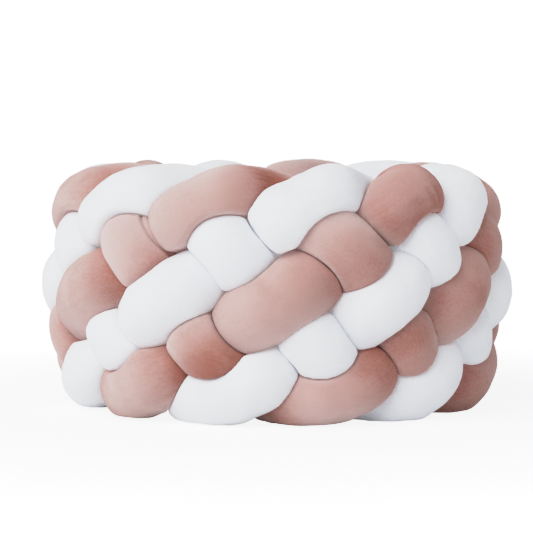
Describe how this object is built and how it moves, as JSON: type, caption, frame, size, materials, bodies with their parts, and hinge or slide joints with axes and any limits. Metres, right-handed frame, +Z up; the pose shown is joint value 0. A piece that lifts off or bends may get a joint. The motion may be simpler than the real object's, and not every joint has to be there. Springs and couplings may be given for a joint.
{
  "type": "braided crib bumper",
  "caption": "Soft padded cot guard: stuffed velvet strands in two colours plaited into one wide band that stands on its edge and curves into a ring.",
  "frame": {"origin": "on the floor, in the middle of the ring's outside box", "axes": "+Z up from the floor, -Y towards the front of the ring, where the picture was taken from, and +Y towards the back, where the two ends of the braid meet"},
  "size_m": [0.5972, 0.5912, 0.3071],
  "materials": {
    "pink_velvet": "matt",
    "white_velvet": "matt"
  },
  "bodies": {
    "root": {"strand_pink_1": "pink_velvet", "strand_pink_2": "pink_velvet", "strand_pink_3": "pink_velvet", "strand_white_1": "white_velvet", "strand_white_2": "white_velvet", "strand_white_3": "white_velvet"}
  },
  "joints": []
}
